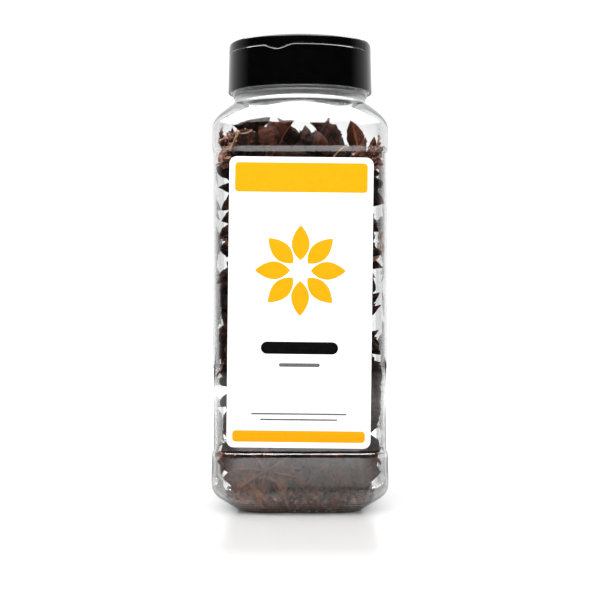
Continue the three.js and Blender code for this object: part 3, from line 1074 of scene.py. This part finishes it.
def pod_contacts(balls, radii, pairs):
    """(pods, points, way from second to first, depth) of the balls of two pods that overlap."""
    first, second = pairs
    gap = balls[first][:, :, None, :] - balls[second][:, None, :, :]
    distance = np.sqrt((gap ** 2).sum(axis=-1)) + 1e-12
    overlap = radii[first][:, :, None] + radii[second][:, None, :] - distance
    hit = np.nonzero(overlap > 0)
    a, b = first[hit[0]], second[hit[0]]
    return (a, b), (balls[a, hit[1]], balls[b, hit[2]]), gap[hit] / distance[hit][:, None], overlap[hit]


def summed(index, values, count):
    return np.stack([np.bincount(index, values[:, axis], minlength=count) for axis in range(3)], -1)


def packed(rest, radii, sizes, turns, places, free):
    """The turn and place of each pod in the settled heap. free is 0 for a pod that stays put."""
    count = len(rest)
    inertia = POD_INERTIA * sizes ** 2
    reach = np.linalg.norm(rest, axis=-1).max(axis=1) + 2 * MM
    for step in range(PACKING_ROUNDS):
        share = step / PACKING_ROUNDS
        grown = radii * min(1.0, 0.5 + 0.9 * share)
        if step % PAIRING_ROUNDS == 0:
            far = np.linalg.norm(places[:, None] - places[None], axis=-1)
            pairs = np.nonzero(np.triu(far < reach[:, None] + reach[None], 1))
        places = places - free[:, None] * [0, 0, SINK * max(0, 1 - 1.2 * share)]
        balls = np.einsum("nij,nkj->nki", turns, rest) + places[:, None]

        (a, b), (point_a, point_b), way, depth = pod_contacts(balls, grown, pairs)
        arm_a = np.cross(point_a - places[a], way)
        arm_b = np.cross(point_b - places[b], way)
        give_a = free[a] * (1 + (arm_a ** 2).sum(axis=1) / inertia[a])
        give_b = free[b] * (1 + (arm_b ** 2).sum(axis=1) / inertia[b])
        push = (depth / np.maximum(give_a + give_b, 1))[:, None]
        w, point_w, way_w, depth_w = wall_contacts(balls, grown)
        arm_w = np.cross(point_w - places[w], way_w)
        push_w = (2 * depth_w / (1 + (arm_w ** 2).sum(axis=1) / inertia[w]))[:, None]

        index = np.concatenate([a, b, w])
        moves = np.concatenate([way * push, -way * push, way_w * push_w])
        spins = np.concatenate([arm_a * push, -arm_b * push, arm_w * push_w]) / inertia[index][:, None]
        crowd = np.maximum(np.bincount(index, minlength=count), 1) ** 0.75
        shared = (free * PUSH_SHARE / crowd)[:, None]
        places = places + summed(index, moves, count) * shared
        spin = summed(index, spins, count) * shared
        spin *= np.minimum(1, MOST_SPIN / np.maximum(np.linalg.norm(spin, axis=1, keepdims=True), 1e-9))
        turns = turned_by(spin) @ turns
    return turns, places


def facing_turn(azimuth, elevation, spin):
    """The turn that points a pod's open side to azimuth and elevation, spun about that way."""
    azimuth, elevation, spin = np.radians([azimuth, elevation, spin])
    level = math.cos(elevation)
    axis = np.array([math.sin(azimuth) * level, -math.cos(azimuth) * level, math.sin(elevation)])
    rise = np.array([0, 0, 1]) - axis[2] * axis
    rise /= np.linalg.norm(rise)
    side = np.cross(axis, rise)
    first = rise * math.cos(spin) - side * math.sin(spin)
    return np.stack([first, np.cross(axis, first), axis], axis=-1)


def standing_turn(along, roll):
    """The turn that lays an arm along a way. Without roll its seam looks to the front."""
    seam = np.array([0, -1, 0]) + along[1] * along
    seam /= np.linalg.norm(seam)
    seam = seam * math.cos(roll) + np.cross(seam, along) * math.sin(roll)
    return np.stack([along, np.cross(seam, along), seam], axis=-1)


def heap(rng):
    """Sizes, turns and places of all the pods, the whole ones and then the loose arms."""
    count = POD_COUNT + LOOSE_COUNT
    free = np.ones(count)
    sizes = rng.uniform(*POD_RADIUS, count)
    angle = rng.uniform(0, 2 * math.pi, count)
    distance = rng.uniform(*HEAP_START_REACH, count) * MM
    end = HEAP_START_END
    height = end + (HEAP_TOP - 2 * end) * rng.permutation(count) / count
    places = points_of(distance * np.cos(angle), distance * np.sin(angle), height)
    turns = random_turns(rng, count)
    for index, (radius, *place, azimuth, elevation, spin) in enumerate(SET_PODS):
        sizes[index] = radius * MM
        places[index] = np.array(place) * MM
        turns[index] = facing_turn(azimuth, elevation, spin)
        free[index] = 0
    for index, (tip_x, tip_z, root_x, root_z, y, roll, *_) in enumerate(SET_ARMS, POD_COUNT):
        root = np.array([root_x, y, root_z]) * MM
        run = np.array([tip_x - root_x, 0, tip_z - root_z]) * MM
        sizes[index] = np.linalg.norm(run) / LOOSE_LENGTH
        places[index] = root + run * LOOSE_MIDDLE / LOOSE_LENGTH
        turns[index] = standing_turn(run / np.linalg.norm(run), math.radians(roll))
        free[index] = 0
    pod_middles, pod_radii = pod_balls()
    loose_middles, loose_radii = loose_balls()
    whole = np.arange(count) < POD_COUNT
    rest = np.where(whole[:, None, None], pod_middles, loose_middles) * sizes[:, None, None]
    radii = np.where(whole[:, None], pod_radii, loose_radii) * sizes[:, None]
    turns, places = packed(rest, radii, sizes, turns, places, free)
    return sizes, turns, places


def kept_inside(shape):
    """The shape, with what reaches into the jar's wall or floor pressed flat against it."""
    points, quads, triangles = shape
    distance, way = square_distance(points, *room_at(points[:, 2]))
    pressed = points - way * np.maximum(distance + WALL_GAP, 0)[:, None]
    pressed[:, 2] = np.maximum(pressed[:, 2], floor_at(pressed) + WALL_GAP)
    return pressed, quads, triangles


def crumbs(rng):
    """Broken bits that have gathered on the jar's floor."""
    c, s = circle(5)
    lump = np.array([points_of(r * c, r * s, z) for r, z in CRUMB_LEVELS])
    shapes = []
    for _ in range(CRUMB_COUNT):
        size = rng.uniform(*CRUMB_SIZE)
        bit = skin(lump * rng.uniform(0.5, 1.3, lump.shape) * size)
        turn = random_turns(rng, 1)[0]
        place = np.array([*rng.uniform(-1, 1, 2) * CRUMB_REACH, 0])
        place[2] = floor_at(place[None])[0] + size * 0.5 + rng.random() ** 2 * CRUMB_LAYER
        shapes.append(kept_inside(moved(bit, 1, turn, place)))
    return joined(shapes)


def places_at_wall(rng, count):
    """Random places all round the heap, a little inside the wall."""
    angle = rng.uniform(0, 2 * math.pi, count)
    height = rng.uniform(*BITS_SPAN, count) * MM
    outside = 60 * MM
    far = points_of(outside * np.cos(angle), outside * np.sin(angle), height)
    distance, way = square_distance(far, *room_at(height))
    return far - way * (distance + BITS_GAP)[:, None]


def broken_bits(rng):
    """Flakes and bits of stalk that lie loose against the wall, as two shapes."""
    flakes, stalks = [], []
    heaped = [rng.uniform(low, high, (count, 3)) * MM for count, low, high in FLAKE_HEAPS]
    for place in np.concatenate([*heaped, places_at_wall(rng, FLAKE_COUNT)]):
        size = rng.uniform(*FLAKE_SIZE)
        flakes.append(moved(flake(rng), size, random_turns(rng, 1)[0], place))
    for place in [*np.array(SET_STALKS) * MM, *places_at_wall(rng, STALK_COUNT)]:
        turn = facing_turn(math.degrees(math.atan2(place[0], -place[1])), 0, rng.uniform(*BITS_SPIN))
        stalks.append(moved(stalk_bit(rng, rng.uniform(*STALK_LENGTH)), 1, turn, place))
    return joined(flakes), joined(stalks)


# ---- Making the pieces ----

SHARP_FROM = math.radians(40)


def in_scene(name, data):
    """A new object in the scene."""
    made = bpy.data.objects.new(name, data)
    bpy.context.scene.collection.objects.link(made)
    return made


def make_piece(name, shape, look, slot, *nodes):
    """A piece, shaded smooth but for its sharp edges, in the place of its nodes. Its slot is not used.
    """
    points, quads, triangles = shape
    mesh = bpy.data.meshes.new(name)
    mesh.from_pydata(points.tolist(), [], quads.tolist() + triangles.tolist())
    mesh.materials.append(look.owner)
    mesh.shade_smooth()
    mesh.set_sharp_from_angle(angle=SHARP_FROM)
    piece = in_scene(name, mesh)
    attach(piece, "root")
    if nodes:
        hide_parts(*nodes)
    return piece


def make_jar():
    make_piece("jar_wall", jar_shape(), clear_plastic(), "clear_plastic", "jar")


def make_cap():
    """The cap. It isn't mirrored, so the jar's shoulder shows the panel over it, as in the photo."""
    look = cap_plastic()
    for name, shape, node in (
        ("cap_skirt", joined([skirt_shape(), hinge_shape()]), "cap_base"),
        ("cap_front_flap", flap_shape(-math.pi / 2), "cap_flap_front"),
        ("cap_back_flap", flap_shape(math.pi / 2), "cap_flap_back"),
    ):
        piece = make_piece(name, shape, look, "cap_plastic", node)
        piece.visible_glossy = False


def make_label():
    """The paper and its print."""
    width, height = LABEL_SIZE
    sheet = slab(rounded_rectangle(width, height, LABEL_CORNER), LABEL_BACK, LABEL_FRONT)
    make_piece("label_sheet", placed_on_panel(sheet), label_paper(), "label_paper", "label")
    flower = [petal(*PETAL, index * math.pi / 4) for index in range(8)]
    amber, black, grey_tone = [
        [rounded_rectangle(*size, up) for *size, up in blocks]
        for blocks in (AMBER_BLOCKS, BLACK_BLOCKS, GREY_BLOCKS)
    ]
    amber_ink = ink("amber_ink", (0.71, 0.315, 0.003), (0.75, 0.335, 0.005))
    for name, outlines, look in (
        ("label_amber_print", amber + flower, amber_ink),
        ("label_black_print", black, ink("black_ink", grey(0.001), grey(0.003))),
        ("label_grey_print", grey_tone, ink("grey_ink", grey(0.09), grey(0.14))),
    ):
        make_piece(name, printed(outlines), look, "label_paper")


def core_shape(rng):
    """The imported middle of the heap, lumpy all over."""
    rings = []
    for share in shares(CORE_LEVELS):
        height = CORE_SPAN[0] + (CORE_SPAN[1] - CORE_SPAN[0]) * share
        width = 0.4 + 0.6 * min(1, 6 * share, 6 * (1 - share)) ** 0.5
        ring = outline(height, CORE_HALF_WIDTH * width, CORE_CORNER * width)
        lumps = 1 + 0.09 * rng.standard_normal(len(ring))
        smooth = sum(np.roll(lumps, shift) for shift in (0, 1, -1, 2, -2)) / 5
        ring[:, :2] *= smooth[:, None]
        rings.append(ring)
    return skin(rings)


def shade_of(rng):
    """How dark a pod is, mostly little."""
    return rng.random() ** 1.5


def make_toned_piece(name, shapes, tones, look):
    """A piece of the heap whose tone is kept on its points, for its material to read."""
    piece = make_piece(name, kept_inside(joined(shapes)), look, "star_anise", "star_anise")
    attribute = piece.data.color_attributes.new("tone", "FLOAT_COLOR", "POINT")
    colours = np.concatenate(tones)
    colours = np.concatenate([colours, np.ones((len(colours), 1))], axis=1)
    attribute.data.foreach_set("color", colours.ravel())


def loose_arm(rng, index):
    """A single arm as (shape, tones, redness, shade). The set ones are shut."""
    split = rng.choice([0, 0.5, 1.0])
    hook = rng.uniform(0.02, 0.2)
    red, shade = 0, shade_of(rng)
    if index < len(SET_ARMS):
        split = 0
        # A set arm's shade is painted shade.
        red, shade = SET_ARMS[index][-2:]
    (points, quads, triangles), tones = arm(rng, LOOSE_LENGTH, split, hook)
    return (points - [LOOSE_MIDDLE, 0, 0], quads, triangles), tones, red, shade


def make_pods():
    """The heap. Its pods are in four pieces by how open they are, and its loose arms in a fifth."""
    rng = np.random.default_rng(12)
    groups = {name: ([], []) for name in (*OPEN_SHARES, "loose_carpels")}
    seeds = []
    for index, (size, turn, place) in enumerate(zip(*heap(rng))):
        name = "loose_carpels"
        inner_seeds = []
        if index < POD_COUNT:
            name = list(OPEN_SHARES)[index % len(OPEN_SHARES)]
            shape, tones, inner_seeds = pod(rng, OPEN_SHARES[name])
            red, shade = 0, shade_of(rng)
        else:
            shape, tones, red, shade = loose_arm(rng, index - POD_COUNT)
        groups[name][0].append(moved(shape, size, turn, place))
        groups[name][1].append(np.clip(tones + [red, 0, shade], 0, 1))
        seeds += [moved(each, size, turn, place) for each in inner_seeds]
    wood = pod_wood()
    for name, (shapes, tones) in groups.items():
        make_toned_piece(name, shapes, tones, wood)
    flakes, stalks = broken_bits(rng)
    for name, shape, look in (
        ("seeds", joined(seeds), seed_coat()),
        ("husk_flakes", flakes, husk_flesh()),
        ("stalk_bits", stalks, stalk_bark()),
        ("crumbs", crumbs(rng), crumb_husk()),
        ("heap_middle", core_shape(rng), core_wood()),
    ):
        make_piece(name, kept_inside(shape), look, "star_anise", "star_anise")


# ---- Camera, floor and light ----

CAMERA_DISTANCE = 690 * MM
CAMERA_HEIGHT = 95.4 * MM
SENSOR = 36.0
LENS = 88.9
BACKDROP = 1.2

# The floor's corners, and its glow as (distance from the jar's axis, strength), which grows from
# front to back by BACK_GLOW over BACK_ZONE.
FLOOR = ((-1.4, -2.6, 0), (1.4, -2.6, 0), (1.4, 1.4, 0), (-1.4, 1.4, 0))
GLOW = ((31 * MM, 0), (38 * MM, 0.08), (120 * MM, 0.18), (200 * MM, 0.6), (270 * MM, 1.2))
BACK_GLOW = 1.3
BACK_ZONE = (-20 * MM, 50 * MM)

# Where the floor is mirrored it is darkened beside and behind the jar, as painted shade, over zones of
# x and y, by (distance as a share of DIM_REACH, how much), and by FOOT_DIM next to the jar.
DIM_REACH = 1.4
DIM = ((0.35, 0.75), (0.6, 0.4), (0.98, 1))
ASIDE_ZONE = (80 * MM, 250 * MM)
REAR_ZONE = (0, 120 * MM)
FOOT_DIM = 0.45
FOOT_ZONE = (80 * MM, 180 * MM)


def make_camera():
    data = bpy.data.cameras.new("camera")
    data.sensor_width = SENSOR
    data.lens = LENS
    data.clip_start = 0.01
    camera = in_scene("camera", data)
    camera.location = (0, -CAMERA_DISTANCE, CAMERA_HEIGHT)
    camera.rotation_euler = (math.pi / 2, 0, 0)
    bpy.context.scene.camera = camera


def floor_look():
    """Glossy white acrylic that glows, painted light that grows away from the jar. Only its part in
    front of the jar is mirrored at full strength.
    """
    tone = grey_stops([(0.3, 0.68), (0.7, 0.70)])
    look = textured("white_acrylic", ((3,), *tone), ((6,), 0.16, 0.2))
    axes = look.axes()
    distance = look.add("VectorMath", {0: look.place()}, "LENGTH").outputs["Value"]
    look.set("Emission Color", look.ramp(distance, *grey_stops(GLOW)))
    look.set("Emission Strength", look.remap(axes["Y"], 1, BACK_GLOW, *BACK_ZONE))
    aside = look.remap(look.maths("ABSOLUTE", axes["X"]), 0, 1, *ASIDE_ZONE)
    rear = look.remap(axes["Y"], 0, 1, *REAR_ZONE)
    dimming = look.ramp(look.maths("MULTIPLY", distance, 1 / DIM_REACH), *grey_stops(DIM))
    away = look.maths("MULTIPLY", dimming, look.maths("MAXIMUM", aside, rear))
    at_foot = look.remap(distance, FOOT_DIM, 0, *FOOT_ZONE)
    mirrored = look.maths("GREATER_THAN", look.add("LightPath").outputs["Glossy Depth"], 0.5)
    look.fade(look.maths("MULTIPLY", mirrored, look.maths("MAXIMUM", away, at_foot)))
    return look


def make_floor():
    mesh = bpy.data.meshes.new("floor")
    mesh.from_pydata(FLOOR, [], [(0, 1, 2, 3)])
    mesh.materials.append(floor_look().owner)
    in_scene("floor", mesh)


def make_world():
    """White to look at. What it lights or is mirrored in sees a dark studio on the camera's side."""
    world = bpy.data.worlds.new("studio")
    bpy.context.scene.world = world
    look = Look(world, "Background")
    behind = look.remap(look.axes("Generated")["Y"], 0.02, 1.0, 0.0, 0.9)
    path = look.add("LightPath").outputs
    seen = look.maths("MAXIMUM", path["Is Camera Ray"], path["Is Transmission Ray"])
    bounces = look.maths("ADD", path["Glossy Depth"], path["Diffuse Depth"])
    straight = look.maths("MULTIPLY", seen, look.maths("LESS_THAN", bounces, 0.5))
    backdrop = look.maths("MULTIPLY", straight, BACKDROP)
    look.set("Color", grey(1))
    look.set("Strength", look.maths("MAXIMUM", behind, backdrop))


def make_panel(name, size, place, tilt, power, mirrored):
    """A soft panel. One kind shows only as a reflection, and the other only lights what is matt."""
    data = bpy.data.lights.new(name, "AREA")
    data.shape = "RECTANGLE"
    data.size, data.size_y = size
    data.energy = power
    lamp = in_scene(name, data)
    lamp.location = place
    lamp.rotation_euler = (tilt, 0, 0)
    lamp.visible_camera = False
    lamp.visible_glossy = mirrored
    lamp.visible_transmission = mirrored
    lamp.visible_diffuse = not mirrored


def make_lights():
    make_panel("mirrored_panel", (1.5, 1.81), (0, -0.155, 1.0), 0, 100, True)
    make_panel("mirrored_strip", (1.5, 0.67), (0, -1.41, 1.0), 0, 5, True)
    make_panel("overhead_panel", (0.9, 0.9), (0, -0.35, 1.0), math.radians(15), 12.5, False)
    make_panel("front_fill", (0.9, 0.9), (-0.3, -1.3, 0.9), math.radians(55), 12.5, False)


scene = bpy.context.scene
scene.view_settings.view_transform = "Standard"
make_camera()
make_floor()
make_world()
make_lights()
make_jar()
make_cap()
make_label()
make_pods()
